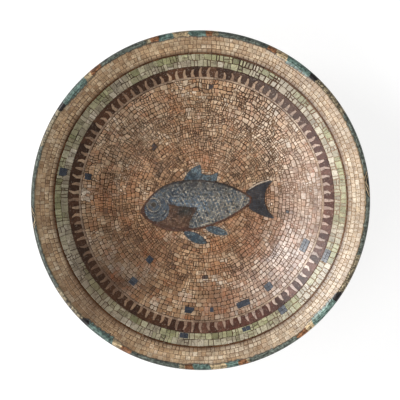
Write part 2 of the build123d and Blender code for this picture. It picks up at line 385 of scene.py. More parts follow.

# %% Soil, painted shade and rust on the stones
# Soil lies in clouds; the painted shade is added to them at fixed spots below.
soil_and_shade = wear_and_shade.cloud(at, 60.0, detail=5.0, roughness=0.65)
all_soil_and_shade = wear_and_shade.spread(soil_and_shade, 0.46, 0.72)
plan = wear_and_shade.flat(at)
# Brown spots at fixed places: painted shade at the lower left and at the bottom, soil at the upper right.
for x, y, reach, amount in soil_and_shade_spots:
    away = wear_and_shade.vector("DISTANCE", plan, (x * MM, y * MM, 0), "Value")
    all_soil_and_shade = wear_and_shade.plus(all_soil_and_shade, wear_and_shade.spread(away, reach * MM, 0.4 * reach * MM, 0.0, amount))
soiled_and_shaded = wear_and_shade.mix(wear_and_shade.times(all_soil_and_shade, given["Soil and shade"], clamp=True), pitted, soil_and_shade_brown)
smears = wear_and_shade.patches(at, 130.0, 0.52, 0.68, detail=4.0, roughness=0.7, distortion=0.8)
rusted = wear_and_shade.mix(wear_and_shade.times(smears, given["Rust"]), soiled_and_shaded, rust_smear)
sheen = wear_and_shade.spread(soil_and_shade, 0.3, 0.7, 0.36, 0.52)
wear_and_shade.fill(gives, {"Color": rusted, "Roughness": sheen, "Height": grain})
# These places are the spots of soil and of painted shade.
print("soil lies thickest in", len(soil_and_shade_spots), "places")

# %% Glaze skin
skin, given, gives = new_group(
    "glaze_skin",
    {"Color": COLOR, "Speck": COLOR, "Speck amount": FLOAT},
    {"Color": COLOR, "Roughness": FLOAT, "Height": FLOAT},
)
at = skin.here()
pooling = skin.cloud(at, 28.0, detail=4.0)
speck_cells = skin.add("ShaderNodeTexVoronoi", {"Vector": at, "Scale": 420.0}).outputs["Distance"]
speck_choice = skin.patches(at, 260.0, 0.58, 0.66, detail=1.0)
speck_dots = skin.times(skin.spread(speck_cells, 0.32, 0.16), speck_choice)
pooled = skin.mix(skin.spread(pooling, 0.3, 0.7, 0.0, 0.35), given["Color"], given["Speck"])
speckled = skin.mix(skin.times(speck_dots, given["Speck amount"]), pooled, given["Speck"])
sheen = skin.spread(pooling, 0.3, 0.7, 0.24, 0.36)
skin.fill(gives, {"Color": speckled, "Roughness": sheen, "Height": pooling})
print("group", skin.tree.name)

# %% [markdown]
# ## The painted lip
#
# The lip's paint repeats over each quarter turn, mirrored, so the angle round the bowl is folded
# with Ping-Pong and looked up in one colour ramp. The paint runs over the lip on to the first row
# of stones, in leaf-shaped patches, so both finishes share the group, and a second ramp says how
# far in the paint reaches at each angle. Separate painted pieces would leave hard steps there.

# %% Patches of lip paint
teal, rust, dark, pale = tint(98, 118, 110), tint(132, 92, 64), tint(40, 38, 38), tint(172, 152, 120)
straw, slate = tint(140, 128, 104), tint(94, 100, 92)
lip_start = radians(96)
quarter = 90.0
# where each colour starts, in degrees of the folded quarter turn
lip_colours = [
    (0.0, pale), (2.5, teal), (7.8, rust), (10.8, straw), (12.0, slate), (30.2, rust), (33.8, pale),
    (37.0, teal), (48.0, dark), (51.0, straw), (65.0, slate),
]
# how far in the paint reaches, in mm
paint_reach = [
    (0.0, 0.4), (8.0, 0.8), (10.0, 0.2), (20.0, 0.0), (31.0, -0.4),
    (38.0, 1.8), (47.0, 1.0), (52.0, -0.5), (70.0, -0.6), (90.0, -0.9),
]
least_reach, full_reach = -1.0, 3.0


def round_lip(stops):
    """Stops in degrees as stops of a ramp over the folded turn, where a number becomes a grey."""
    return [(a / quarter, v if isinstance(v, list) else [v, v, v, 1.0]) for a, v in stops]


lip, given, gives = new_group("lip_paint", {"Color": COLOR}, {"Color": COLOR})
at = lip.here()
axes = lip.add("ShaderNodeSeparateXYZ", {0: at}).outputs
angle = lip.math("ARCTAN2", axes["Y"], axes["X"])
waver = lip.times(lip.minus(lip.cloud(at, 160.0), 0.5), 0.06)
turn = lip.math("DIVIDE", lip.minus(angle, lip_start), radians(quarter))
folded = lip.math("PINGPONG", lip.plus(turn, waver), 1.0)
paint = lip.ramp(folded, round_lip(lip_colours), "CONSTANT")
reach_stops = [(a, (w - least_reach) / (full_reach - least_reach)) for a, w in paint_reach]
reach_share = lip.ramp(folded, round_lip(reach_stops))
reach = lip.spread(reach_share, 0.0, 1.0, least_reach * MM, full_reach * MM)
across = lip.from_axis(at)
inward = lip.minus(lip_inner, across)
ragged = lip.times(lip.minus(lip.cloud(at, 420.0), 0.5), 2.4 * MM)
to_edge = lip.minus(reach, lip.plus(inward, ragged))
paint_mask = lip.spread(to_edge, -0.2 * MM, 0.3 * MM)
print("group", lip.tree.name, "with", len(lip_colours), "patches in a quarter turn")

# %% [markdown]
# The brush left more than flat patches: uneven paint, short cross strokes, a fan of dark blades
# where two quarters meet at each side, and fine threads along the lip. Noise that is drawn out
# along the lip or across it gives each of them. Painted light makes the lip lighter on its right
# side, and painted shade darkens its outer edge, most on the left.

# %% Brush marks, hatching, fans, threads and the lip's painted light
# how densely the paint is hatched at each angle
hatch_share = [
    (0.0, 0.3), (30.0, 0.45), (36.0, 0.15), (47.0, 0.2), (50.0, 0.9),
    (64.0, 0.7), (67.0, 0.4), (80.0, 0.5), (84.0, 0.0),
]
fan_blades = [(0.0, dark), (0.36, pale), (0.48, dark), (0.64, pale), (0.74, dark), (0.9, slate)]
fan_length, fan_slant = 12 * MM, 2.2
# The way towards the lit right side, for the lip's painted light.
lit_way = (0.97, -0.24, 0)


def along_lip(round_scale, across_scale):
    """A place on the lip as (round, across), each with its own scale."""
    inputs = {0: lip.times(turn, round_scale), 1: lip.times(across, across_scale)}
    return lip.add("ShaderNodeCombineXYZ", inputs).outputs[0]


brush = lip.patches(at, 560.0, 0.34, 0.66, 0.2, 1.9, detail=5.0, roughness=0.75)
brushed = lip.mix(1.0, paint, brush, "MULTIPLY")
strokes = lip.patches(along_lip(110.0, 260.0), 1.0, 0.5, 0.56, detail=1.0)
hatching = lip.times(strokes, lip.ramp(folded, round_lip(hatch_share)))
hatched = lip.mix(lip.times(hatching, 0.85), brushed, dark)
along = lip.times(lip.minus(1.0, folded), rim_radius * radians(quarter))
fan = lip.plus(along, lip.times(lip.minus(rim_radius, across), fan_slant))
blades = lip.ramp(lip.math("DIVIDE", fan, fan_length), fan_blades, "CONSTANT")
fanned = lip.mix(lip.spread(fan, 11.5 * MM, 10.5 * MM, 0.0, 0.9), hatched, blades)
threads = lip.patches(along_lip(30.0, 1500.0), 1.0, 0.38, 0.62, 0.55, 1.4, detail=1.0)
# Painted shade darkens the lip's outer edge, most on the left, and painted light lightens the lip on its
# right side.
lit_side = lip.toward(at, lit_way)
edge_shade = lip.spread(lit_side, -0.3 * rim_radius, 0.8 * rim_radius, 0.5, 1.1)
outer_shade = lip.spread(across, rim_radius - 2.2 * MM, rim_radius - 0.4 * MM, 1.0, edge_shade)
painted_side_light = lip.spread(lit_side, 0.2 * rim_radius, 0.9 * rim_radius, 0.97, 1.8)
threads_and_painted_light = lip.times(threads, lip.times(outer_shade, painted_side_light))
shaded_paint = lip.mix(1.0, fanned, threads_and_painted_light, "MULTIPLY")
print("fans have", len(fan_blades), "blades")

# %% Painted shade in the crease and inside the lip, streaks, and the paint's dark outline
# Painted shade: brown in the crease and in a patchy band just inside the lip; the band's brown also
# colours the streaks along the rim.
crease_shade, shade_and_streak_brown = tint(78, 48, 24), tint(112, 78, 46)
under_lip_patches = lip.patches(at, 48.0, 0.36, 0.6, 0.05, 0.4, detail=4.0, roughness=0.7)
under_lip_shade = lip.times(lip.spread(inward, 3.8 * MM, 0.4 * MM), under_lip_patches)
streaks = lip.patches(along_lip(8.0, 700.0), 1.0, 0.5, 0.6, 0.0, 0.32)
# Painted shade on the border stones next to the crease.
in_crease = lip.spread(across, crease_radius + 0.3 * MM, crease_radius + 2.4 * MM, 0.75, 0.0)
crease_shaded = lip.mix(in_crease, given["Color"], crease_shade)
shaded_and_streaked = lip.mix(lip.math("MAXIMUM", under_lip_shade, streaks), crease_shaded, shade_and_streak_brown)
drawn_line = lip.spread(lip.math("ABSOLUTE", to_edge), 0.6 * MM, 0.1 * MM, 0.0, 0.65)
outlined = lip.mix(drawn_line, lip.mix(paint_mask, shaded_and_streaked, shaded_paint), dark)
lip.fill(gives, {"Color": outlined})
print("lip paint:", len(lip.tree.nodes), "nodes")

# %% [markdown]
# ## Stone finishes
#
# Each stone is one colour with a little life in it. The stones carry values as attributes:
# `shade`, a random number, `cell`, the stone's own middle, and the marks `halo`, `sheen_and_stripe`
# and `tone`, which say how far the layout asked for another colour there. Some of these marks are
# painted light: `sheen_and_stripe` is painted sheen in the field and a real blue stripe on the
# fish, and `tone` is painted sheen in the border and painted light on the toothed band. Reading
# noise at `cell` instead of at the surface point gives each stone one flat colour while the colours
# still gather in patches, as when a layer works from one heap of stone at a time.

# %% A helper that makes a stone finish
stone_seal = {"Specular IOR Level": 0.1, "Coat Roughness": 0.34, "Coat IOR": 1.66}


def stone_finish(
    name, colours, patch=None, patch_scale=40.0, patch_amount=0.7, grain=0.8, soil_and_shade=0.35, rust=0.0,
    paler=None, marked=None, mingled=0.65, painted=False, gloss=0.9,
):
    """A sealed stone: a colour ramp by shade, patches, marks of other colours, some of them painted sheen
    and painted light, and wear with painted shade.
    """
    material, bench = new_material(name)
    shade, cell = bench.mark("shade"), bench.mark("cell", "Vector")
    heap = bench.patches(cell, patch_scale * 1.7, 0.3, 0.7, detail=1.0)
    picked = bench.plus(bench.times(shade, mingled), bench.times(heap, 1 - mingled))
    if paler:
        start, end, amount = paler
        picked = bench.plus(picked, bench.spread(bench.from_axis(cell), start, end, -amount, amount))
    colour = bench.ramp(picked, colours)
    if patch:
        gathered = bench.patches(cell, patch_scale, 0.5, 0.62, 0.0, patch_amount, roughness=0.7)
        colour = bench.mix(gathered, colour, patch)
    for mark, stops in (marked or {}).items():
        colour = bench.mix(bench.mark(mark), colour, bench.ramp(shade, stops))
    # The wear group adds grain, soil and rust, and painted shade at fixed spots.
    wear_and_light = bench.use(wear_and_shade, {"Color": colour, "Grain": grain, "Soil and shade": soil_and_shade, "Rust": rust})
    colour = bench.use(lip, {"Color": wear_and_light["Color"]})["Color"] if painted else wear_and_light["Color"]
    normal = bench.bump(wear_and_light["Height"], 0.15, 0.1 * MM).outputs[0]
    bench.surface({"Base Color": colour, "Roughness": wear_and_light["Roughness"], "Normal": normal})
    bench.surface(stone_seal | {"Coat Weight": gloss})
    return material


# %% The stone finishes of the bands
stone_looks = {
    "peach_border": dict(
        colours=tints((154, 121, 86), (192, 160, 122), (210, 184, 148), (226, 207, 178)),
        patch=tint(196, 158, 116),
        # The tone mark is painted sheen: stones painted whiter at the lower right.
        marked={"tone": tints((196, 175, 148), (232, 218, 196))},
        grain=0.7,
        painted=True,
    ),
    "dark_line_stone": dict(colours=tints((62, 38, 21), (92, 60, 36), (122, 84, 54)), gloss=0.1),
    "green_band": dict(
        colours=tints((126, 116, 96), (172, 160, 136), (192, 180, 158), (212, 202, 182)),
        marked={"tone": tints((116, 116, 74), (150, 150, 102), (178, 176, 134))},
        soil_and_shade=0.25,
    ),
    "dentil_brown": dict(
        colours=tints((44, 25, 13), (68, 42, 25), (96, 62, 40)),
        # The tone mark is painted light: stones painted lighter and redder on the lit right side.
        marked={"tone": tints((66, 34, 26), (92, 54, 44), (116, 78, 66))},
        soil_and_shade=0.1,
        gloss=0.35,
    ),
    "tooth_beige": dict(
        colours=tints((124, 95, 72), (170, 136, 106), (202, 174, 142)),
        # The tone mark is painted light: teeth painted paler and pinker on the lit right side.
        marked={"tone": tints((168, 138, 126), (204, 182, 172))},
    ),
    "pale_ring": dict(colours=tints((136, 110, 88), (170, 142, 116), (198, 176, 150))),
    "accent_blue": dict(colours=tints((30, 36, 46), (44, 51, 64), (66, 72, 82)), grain=0.4, soil_and_shade=0.0),
}

# %% The stone finishes of the field and the fish
stone_looks |= {
    "warm_field": dict(
        colours=tints((98, 74, 55), (152, 112, 77), (190, 151, 111), (215, 189, 157), (235, 222, 202)),
        patch=tint(182, 120, 74),
        patch_amount=0.6,
        soil_and_shade=0.4,
        rust=0.45,
        paler=(30 * MM, 80 * MM, 0.12),
        mingled=0.46,
        marked={
            "halo": tints((196, 162, 128), (224, 202, 174)),
            # Painted sheen: stones painted pinkish white at the lower right.
            "sheen_and_stripe": tints((150, 124, 110), (180, 156, 141), (208, 190, 179)),
            "tone": tints((44, 46, 54), (58, 58, 64)),
        },
    ),
    "rust_line": dict(
        colours=tints((60, 32, 20), (84, 46, 31), (110, 64, 44)),
        marked={"tone": tints((30, 28, 28), (58, 48, 42))},
    ),
    "belly_brown": dict(
        colours=tints((62, 42, 30), (92, 64, 48), (130, 102, 80)),
        marked={
            "halo": tints((58, 33, 23), (88, 52, 37)),
            "tone": tints((34, 34, 32), (70, 70, 64)),
        },
    ),
    "fish_scale": dict(
        colours=tints((36, 50, 64), (60, 82, 100), (86, 104, 116)),
        marked={
            "halo": tints((48, 45, 40), (98, 88, 74)),
            # On the fish this mark is the real blue stripe along the flank's middle.
            "sheen_and_stripe": tints((52, 76, 102), (92, 122, 146), (140, 164, 180)),
            "tone": tints((130, 132, 124), (168, 160, 142), (204, 192, 168)),
        },
        soil_and_shade=0.1,
    ),
    "fin_blue": dict(colours=tints((34, 52, 64), (64, 88, 102), (128, 146, 150)), soil_and_shade=0.1),
    "tail_pale": dict(colours=tints((196, 174, 150), (228, 214, 194)), grain=0.4, soil_and_shade=0.0),
    "tail_slate": dict(colours=tints((28, 30, 36), (42, 44, 50), (64, 64, 68)), grain=0.5, soil_and_shade=0.05),
    "pupil_dark": dict(colours=tints((48, 42, 34), (74, 62, 46)), soil_and_shade=0.0),
}
stone_finishes = {name: stone_finish(name, **look) for name, look in stone_looks.items()}
print("stone finishes:", len(stone_finishes))

# %% [markdown]
# ## Grout, glaze and bare clay
#
# The grout between the stones is dark brown and gritty, and paler in the border. Towards the right
# it is painted paler still, as painted sheen. The lip is glazed over its paint. The outside isn't
# seen in the photo; it gets a plain cream glaze with a few iron specks and faint rings from
# throwing, and the foot is left bare, as on most bowls of this kind. None of these needs a stone's
# marks, so each is a short material of its own on Object coordinates.

# %% Grout
grout_stops = [(0.36, tint(46, 29, 15)), (0.52, tint(72, 47, 27)), (0.66, tint(116, 86, 58))]
# The first and the last of these are painted sheen, for grout that is paler towards the lit right side.
sheen_grout, soft_grout, border_sheen_grout = tint(164, 134, 110), tint(124, 94, 67), tint(176, 148, 116)
grout_brown, bench = new_material("grout_brown")
at = bench.here()
grit = bench.cloud(at, 1800.0, detail=4.0)
damp = bench.cloud(at, 70.0, detail=4.0, roughness=0.7)
dampness = bench.plus(bench.times(grit, 0.3), bench.times(damp, 0.7))
# Painted sheen: the grout is lighter towards the right, inside and in the border.
lit_side = bench.toward(at, (1, -0.1, 0))
sheen_share = bench.spread(lit_side, 45 * MM, 80 * MM, 0.0, 0.8)
inner_grout = bench.mix(sheen_share, bench.ramp(dampness, grout_stops), sheen_grout)
out = bench.from_axis(at)
in_border = bench.spread(out, crease_radius, crease_radius + 6 * MM, 0.2, 0.7)
border_share = bench.times(in_border, bench.math("GREATER_THAN", out, crease_radius))
border_grout = bench.mix(bench.spread(lit_side, 20 * MM, 95 * MM), soft_grout, border_sheen_grout)
bench.surface({
    "Base Color": bench.mix(border_share, inner_grout, border_grout),
    "Roughness": bench.spread(grit, 0.3, 0.7, 0.7, 0.9),
    "Normal": bench.bump(grit, 0.4, 0.1 * MM).outputs[0],
})
print("material", grout_brown.name)


# %% Glazed finishes
def glaze_finish(name, colour, speck, speck_amount, gloss, painted=False, throwing_rings=0.0):
    """A satin glaze on clay."""
    material, bench = new_material(name)
    glazed = bench.use(skin, {"Color": colour, "Speck": speck, "Speck amount": speck_amount})
    finish = bench.use(lip, {"Color": glazed["Color"]})["Color"] if painted else glazed["Color"]
    bump = bench.bump(glazed["Height"], 0.15, 0.3 * MM)
    if throwing_rings:
        waves = {"Vector": bench.here(), "Scale": 55.0, "Distortion": 1.2, "Detail": 2.0}
        rings = bench.add("ShaderNodeTexWave", waves, wave_type="RINGS", rings_direction="Z")
        ripple = bench.bump(rings.outputs["Fac"], throwing_rings, 0.3 * MM)
        bench.fill(bump, {"Normal": ripple.outputs[0]})
    bench.surface({"Base Color": finish, "Roughness": glazed["Roughness"], "Normal": bump.outputs[0]})
    bench.surface({"Specular IOR Level": 0.15, "Coat Weight": gloss, "Coat Roughness": 0.25})
    return material


painted_lip = glaze_finish("painted_lip", pale, tint(120, 96, 74), 0.4, 0.1, painted=True)
cream_glaze = glaze_finish(
    "cream_glaze", tint(208, 192, 166), tint(140, 104, 72), 0.7, 0.5, throwing_rings=0.25,
)
print("materials", painted_lip.name, "and", cream_glaze.name)

# %% Bare clay
clay_stops = [(0.3, tint(166, 122, 88)), (0.6, tint(188, 146, 110)), (0.8, tint(200, 164, 130))]
bare_clay, bench = new_material("bare_clay")
at = bench.here()
clay_grit = bench.cloud(at, 900.0, detail=5.0, roughness=0.7)
clay_colour = bench.ramp(bench.cloud(at, 45.0), clay_stops)
clay_shade = bench.spread(clay_grit, 0.3, 0.7, 0.82, 1.12)
bench.surface({
    "Base Color": bench.mix(1.0, clay_colour, clay_shade, "MULTIPLY"),
    "Roughness": bench.spread(clay_grit, 0.3, 0.7, 0.75, 0.92),
    "Normal": bench.bump(clay_grit, 0.5, 0.2 * MM).outputs[0],
})
clay_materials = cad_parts["clay_body"].data.materials
clay_materials.clear()
clay_materials.append(bare_clay)
print("clay_body stays as it is, in bare clay")

# %% [markdown]
# ## The turned pieces
#
# The grout fills the joints to a little below the stones' faces and goes down to the clay. The lip
# is a half-round skin that ends where the outside glaze begins, at the bowl's widest point. The
# outside glaze ends in a thick rolled edge just above the foot, where glaze gathers as it melts.
# All four follow the section line, so they are written as sections for the lathe helper.

# %% Grout bed
joint_depth, lining_depth = 0.22 * MM, 1.1 * MM
bed_section = section_line(joint_depth) + section_line(lining_depth)[::-1]
settle(lathe("grout_bed", bed_section), grout_brown, "grout", "setting_bed")

# %% Lip
lip_centre = lip_point(lip_radius)
rim_turn = pi / 2 + border_angle
lip_face, lip_back = lip_radius - 0.005 * MM, lip_radius - glaze_thickness


def lip_arc(radius, start, end, steps):
    """Points round the lip, from its inner side at 0 to its outermost point at rim_turn and on."""
    turns = [rim_turn - t for t in np.linspace(start, end, steps)]
    return [(lip_centre[0] + radius * cos(t), lip_centre[1] + radius * sin(t)) for t in turns]


lip_section = lip_arc(lip_face, 0, rim_turn, 22) + lip_arc(lip_back, 0, rim_turn, 22)[::-1]
lip_nodes = ["lip_teal", "lip_rust", "lip_dark", "lip_pale"]
settle(lathe("lip_skin", lip_section), painted_lip, "teal_glaze", *lip_nodes)

# %% Outside glaze
foot_outer = ring_reach("outer_glaze")[0]
foot_inner = ring_reach("recess_glaze")[1]
clay_depth = wall_thickness - glaze_thickness
glaze_edge = 0.25 * MM


def line_between(depth, start, end):
    """The part of the section line between two distances from the axis."""
    line = section_line(depth)
    heights = np.interp([start, end], *np.transpose(line))
    return [(start, heights[0]), *((r, z) for r, z in line if start < r < end), (end, heights[1])]


outside = line_between(wall_thickness, foot_outer + glaze_edge, lip_point(wall_thickness)[0])
outside += lip_arc(lip_face, pi, rim_turn, 14)[1:]
inside = lip_arc(lip_back, rim_turn, pi, 14)
inside += line_between(clay_depth, foot_outer, lip_point(clay_depth)[0])[::-1][1:]
settle(lathe("outside_glaze", outside + inside), cream_glaze, "cream_glaze", "outer_glaze")

# %% Foot ring and the glaze inside it
foot_taper, foot_edge = 1.2 * MM, 0.8 * MM
foot_height = floor_level - wall_thickness


def rounded(before, corner, after, radius=foot_edge, steps=6):
    """A corner of a section rounded off between its two neighbours."""
    before, corner, after = (np.array(p) for p in (before, corner, after))
    first = corner + (before - corner) / np.linalg.norm(before - corner) * radius
    last = corner + (after - corner) / np.linalg.norm(after - corner) * radius
    ways = np.linspace(0, 1, steps)
    return [tuple((1 - w) ** 2 * first + 2 * w * (1 - w) * corner + w**2 * last) for w in ways]


inner_top, inner_low = (foot_inner, foot_height), (foot_inner + foot_taper, 0.0)
outer_low, outer_top = (foot_outer - foot_taper, 0.0), (foot_outer, foot_height)
foot_section = [inner_top, *rounded(inner_top, inner_low, outer_low)]
foot_section += [*rounded(inner_low, outer_low, outer_top), outer_top]
foot_section += line_between(clay_depth, foot_inner, foot_outer)[::-1]
settle(lathe("bare_foot", foot_section), bare_clay, "bare_clay", "foot_ring")
recess_top = line_between(clay_depth, 0.0, foot_inner)
recess_face = line_between(wall_thickness, 0.0, foot_inner)
settle(lathe("recess_coat", recess_face + recess_top[::-1]), cream_glaze, "cream_glaze", "recess_glaze")

# %% [markdown]
# ## One tree for every stone
#
# There are some thousands of stones, all made alike: a flat outline, lifted a little more or less
# than its neighbours, tipped a little, and bevelled where it was rubbed. That is a job for one
# Geometry Nodes tree. Python draws the outlines as flat faces on the mosaic's face, and the tree
# turns each face into a closed stone and stores the values that the finishes read.

# %% The stone tree's inputs and random values
stone_tree = bpy.data.node_groups.new("lay_stones", "GeometryNodeTree")
geo = Bench(stone_tree)
GEOMETRY = "NodeSocketGeometry"
stone_inputs = {
    "Outlines": GEOMETRY, "Thickness": FLOAT, "Bevel": FLOAT, "Unevenness": FLOAT, "Tip": FLOAT,
    "Seed": "NodeSocketInt", "Finish": "NodeSocketMaterial",
}
socket_id = {}
for name, kind in stone_inputs.items():
    socket = stone_tree.interface.new_socket(name, in_out="INPUT", socket_type=kind)
    socket_id[name] = socket.identifier
stone_tree.interface.new_socket("Stones", in_out="OUTPUT", socket_type=GEOMETRY)
asked = geo.add("NodeGroupInput").outputs


def per_stone(low, high, seed_step):
    """A random number or vector that is the same all over one stone."""
    number = isinstance(low, float)
    data_type, slots, output = ("FLOAT", (2, 3), 1) if number else ("FLOAT_VECTOR", (0, 1), 0)
    inputs = {slots[0]: low, slots[1]: high, "Seed": geo.plus(asked["Seed"], seed_step)}
    drawn = geo.add("FunctionNodeRandomValue", inputs, data_type=data_type).outputs[output]
    settings = {"domain": "FACE", "data_type": data_type}
    return geo.add("GeometryNodeFieldOnDomain", {0: drawn}, **settings).outputs[0]


def store(geometry, name, value, data_type):
    """Keeps a value on each face under a name."""
    inputs = {"Geometry": geometry, "Name": name, "Value": value}
    settings = {"domain": "FACE", "data_type": data_type}
    return geo.add("GeometryNodeStoreNamedAttribute", inputs, **settings).outputs[0]


shade, lift = per_stone(0.0, 1.0, 1), per_stone(-1.0, 1.0, 2)
lean = per_stone((-1, -1, 0), (1, 1, 0), 3)
here = geo.add("GeometryNodeInputPosition").outputs[0]
celled = store(store(asked["Outlines"], "shade", shade, "FLOAT"), "cell", here, "FLOAT_VECTOR")
print("the stone tree asks for", list(stone_inputs))

# %% Lifting, tipping and bevelling
cell = {"Name": "cell"}
own_middle = geo.add("GeometryNodeInputNamedAttribute", cell, data_type="FLOAT_VECTOR").outputs[0]
tipping = geo.vector("DOT_PRODUCT", lean, geo.vector("SUBTRACT", here, own_middle), "Value")
rise = geo.plus(geo.times(tipping, asked["Tip"]), geo.times(lift, asked["Unevenness"]))
raised = geo.add("ShaderNodeCombineXYZ", {2: rise}).outputs[0]
tipped = geo.add("GeometryNodeSetPosition", {"Geometry": celled, "Offset": raised}).outputs[0]
sinking = {0: geo.add("GeometryNodeInputNormal").outputs[0], "Scale": geo.times(asked["Thickness"], -1.0)}
down = geo.add("ShaderNodeVectorMath", sinking, operation="SCALE").outputs[0]
base = geo.add("GeometryNodeSetPosition", {"Geometry": tipped, "Offset": down}).outputs[0]
side_height = geo.minus(asked["Thickness"], asked["Bevel"])


def extrude(mesh, height, **selection):
    """Raises each chosen face by itself."""
    inputs = {"Mesh": mesh, "Offset Scale": height, "Individual": True} | selection
    return geo.add("GeometryNodeExtrudeMesh", inputs, mode="FACES").outputs


sides = extrude(base, side_height)
bevel = extrude(sides[0], asked["Bevel"], Selection=sides["Top"])
width = geo.math("SQRT", geo.add("GeometryNodeInputMeshFaceArea").outputs[0])
both_bevels = geo.times(asked["Bevel"], 2.0)
narrowing = geo.math("SUBTRACT", 1.0, geo.math("DIVIDE", both_bevels, width), clamp=True)
top = {"Geometry": bevel[0], "Selection": bevel["Top"], "Scale": narrowing}
topped = geo.add("GeometryNodeScaleElements", top, domain="FACE").outputs[0]
underside = geo.add("GeometryNodeFlipFaces", {"Mesh": base}).outputs[0]
joined = geo.add("GeometryNodeJoinGeometry", {0: topped})
geo.fill(joined, {0: underside})
closing = {"Geometry": joined.outputs[0], "Distance": 1e-6}
closed = geo.add("GeometryNodeMergeByDistance", closing).outputs[0]
real = geo.add("GeometryNodeRealizeInstances", {"Geometry": closed}).outputs[0]
dressing = {"Geometry": real, "Material": asked["Finish"]}
finished = geo.add("GeometryNodeSetMaterial", dressing).outputs[0]
geo.add("NodeGroupOutput", {0: finished})
print("stone tree:", len(stone_tree.nodes), "nodes")

# %% [markdown]
# ## Drawing the outlines
#
# A mosaic layer cuts stones to fit. Rows are drawn first, as quads round a centre or along a
# course, and then each quad is trimmed to the CAD piece it belongs to: points are tested with a
# ray straight down on that piece, and an edge that crosses its border is cut there. A Boolean
# modifier could trim them too, but slowly, and it would leave slivers. Last, each outline is drawn
# in by half a joint.

# %% Places on the plan
chance = np.random.default_rng(11)
noise.seed_set(1)
straight_down = Vector((0, 0, -1))


def on_plan(radius, angle, centre=(0.0, 0.0)):
    """A point of the plan at a distance and an angle from a centre."""
    return centre[0] + radius * cos(angle), centre[1] + radius * sin(angle)


def middle(outline):
    """The middle of an outline's corners."""
    return np.mean(outline, axis=0)


def held(value, low, high, start=0.0, end=1.0):
    """A value that goes from start to end between two limits, and no further."""
    return float(np.interp(value, [low, high], [start, end]))


def covers(*nodes):
    """A test for whether a point of the plan lies on one of these CAD nodes."""
    trees = []
    for name in nodes:
        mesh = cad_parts[name].data
        mesh.calc_loop_triangles()
        triangles = [t.vertices for t in mesh.loop_triangles]
        trees.append(BVHTree.FromPolygons([v.co for v in mesh.vertices], triangles))

    def test(point):
        start = Vector((point[0], point[1], 2 * cad_high.z))
        return any(tree.ray_cast(start, straight_down)[0] is not None for tree in trees)

    return test


def near(*nodes, reach):
    """A test that gives 1 for a stone this near to one of these CAD nodes, otherwise 0."""
    touches = covers(*nodes)
    ways = np.linspace(0, 2 * pi, 8, endpoint=False)

    def test(outline):
        return float(any(touches(on_plan(reach, t, middle(outline))) for t in ways))

    return test


# %% Trimming and drawing in
halvings = 7
shortest_edge = 0.04 * MM
smallest_stone = 0.06 * MM * MM


def trim(stone, inside, steps=4):
    """The part of a stone's outline that lies inside, or None."""
    stone = [np.array(corner) for corner in stone]
    walk = []
    for start, end in zip(stone, stone[1:] + stone[:1]):
        walk += [start + (end - start) * k / steps for k in range(steps)]
    states = [inside(point) for point in walk]
    if all(states):
        return stone
    kept = []
    for k, point in enumerate(walk):
        following, next_state = walk[(k + 1) % len(walk)], states[(k + 1) % len(walk)]
        if states[k] and k % steps == 0:
            kept.append(point)
        if states[k] != next_state:
            near_end, far_end = point, following
            for _ in range(halvings):
                half = (near_end + far_end) / 2
                if inside(half) == states[k]:
                    near_end = half
                else:
                    far_end = half
            kept.append((near_end + far_end) / 2)
    return kept if len(kept) >= 3 else None


def area(outline):
    """Signed area of an outline, positive when it runs counter-clockwise."""
    x, y = outline[:, 0], outline[:, 1]
    return float(np.sum(x * np.roll(y, -1) - y * np.roll(x, -1)) / 2)


def draw_in(stone, gap):
    """An outline drawn in by a gap on every side, or None if too little is left."""
    points = np.array(stone)
    points = points[np.linalg.norm(np.roll(points, -1, 0) - points, axis=1) > shortest_edge]
    if len(points) < 3:
        return None
    ways = np.roll(points, -1, 0) - points
    ways /= np.linalg.norm(ways, axis=1)[:, None]
    normals = np.stack([-ways[:, 1], ways[:, 0]], 1)
    before = np.roll(normals, 1, 0)
    opening = np.maximum(1 + np.sum(before * normals, 1), 0.4)[:, None]
    drawn = points + gap * (before + normals) / opening
    return drawn if area(drawn) > smallest_stone else None


def blunt(outline, share):
    """An outline with its corners knocked off, as on a roughly cut stone."""
    points = np.array(outline)
    following = np.roll(points, -1, 0)
    step = share * (following - points)
    return np.stack([points + step, following - step], 1).reshape(-1, 2)


def split(outline):
    """A quad cut in two, across its longer side."""
    a, b, c, d = (np.array(corner) for corner in outline)
    sides = [np.linalg.norm(side) for side in (b - a, d - c, c - b, a - d)]
    if sides[0] + sides[1] < sides[2] + sides[3]:
        a, b, c, d = b, c, d, a
    first, second = chance.uniform(0.38, 0.62, 2)
    low, high = a + first * (b - a), d + second * (c - d)
    return [[a, low, high, d], [low, b, c, high]]


def some_split(outlines, share):
    """Outlines of which about this share is cut in two."""
    return [part for o in outlines for part in (split(o) if chance.random() < share else [o])]


# %% Rows round a centre and straight courses
def ring_row(inner, outer, width, centre=(0.0, 0.0), variety=0.3):
    """One row of stones round a centre, as quads of uneven width."""
    count = max(3, round(pi * (inner + outer) / width))
    steps = 1 + chance.uniform(-variety, variety, count)
    edges = chance.uniform(0, 2 * pi) + np.cumsum(steps) * 2 * pi / steps.sum()
    row = []
    for start, end in zip(edges, np.append(edges[1:], edges[0] + 2 * pi)):
        corners = [(inner, start), (outer, start), (outer, end), (inner, end)]
        row.append([on_plan(r, a, centre) for r, a in corners])
    return row


